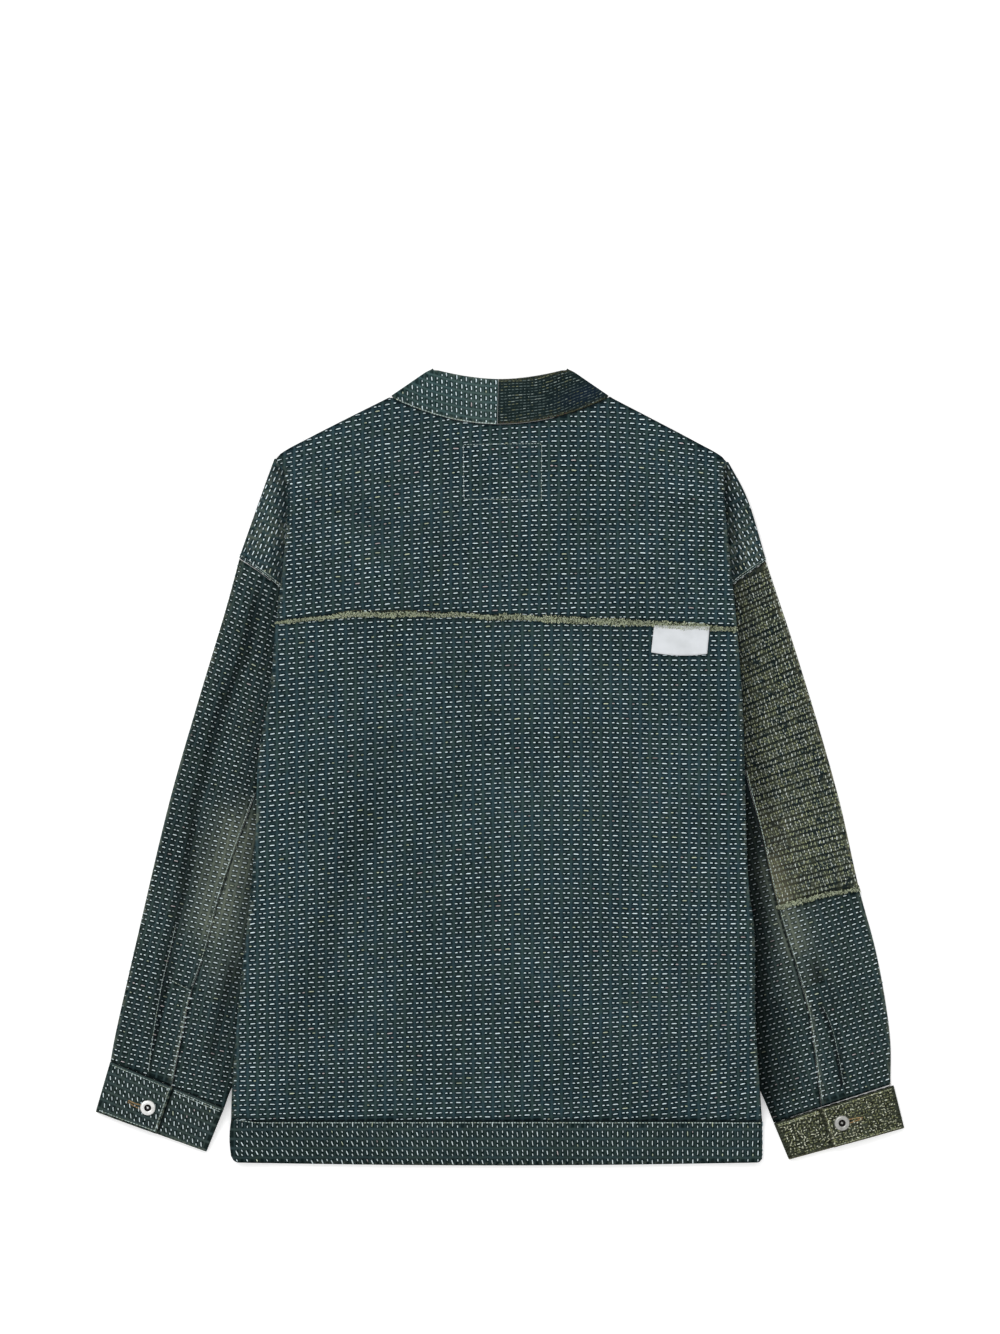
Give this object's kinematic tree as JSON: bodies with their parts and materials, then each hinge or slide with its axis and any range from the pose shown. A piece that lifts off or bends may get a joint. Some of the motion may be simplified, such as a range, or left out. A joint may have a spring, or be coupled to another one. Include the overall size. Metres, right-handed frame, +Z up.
{
  "type": "patched boro jacket",
  "caption": "Patched work jacket of running-stitched indigo cotton, laid flat with its back up: frayed yoke seam, olive sleeve patch and cuff, band collar, hem band and buttoned cuffs.",
  "frame": {"origin": "on the floor, under the middle of the laid jacket", "axes": "+Z up from the floor, +Y towards the collar, +X towards the wearer's right sleeve"},
  "size_m": [0.768, 0.758, 0.014],
  "materials": {
    "indigo_cloth": "dark teal-indigo cotton with pale running stitches in checkered rows, worn",
    "dark_cloth": "near-black cotton with fine rows of olive-grey running stitch",
    "olive_cloth": "coarse olive and navy tweed-like cotton weave",
    "frayed_yarn": "loose straw-olive yarn of a raw edge",
    "white_tape": "smooth white woven tape, bare",
    "bright_metal": "bright nickel, satin",
    "dull_metal": "dull worn zinc"
  },
  "bodies": {
    "root": {"back_yoke": "indigo_cloth", "back_panel": "indigo_cloth", "front_left": "indigo_cloth", "front_right": "indigo_cloth", "collar_left": "indigo_cloth", "hem_band": "indigo_cloth", "sleeve_left_outer": "indigo_cloth", "sleeve_left_under": "indigo_cloth", "sleeve_right_outer": "indigo_cloth", "sleeve_right_under": "indigo_cloth", "cuff_left": "indigo_cloth", "collar_right": "dark_cloth", "placket_left": "indigo_cloth", "placket_right": "indigo_cloth", "sleeve_right_patch": "olive_cloth", "cuff_right": "olive_cloth", "yoke_fray": "frayed_yarn", "patch_fray": "frayed_yarn", "label": "white_tape", "button_left": "bright_metal", "button_right": "dull_metal"}
  },
  "joints": []
}
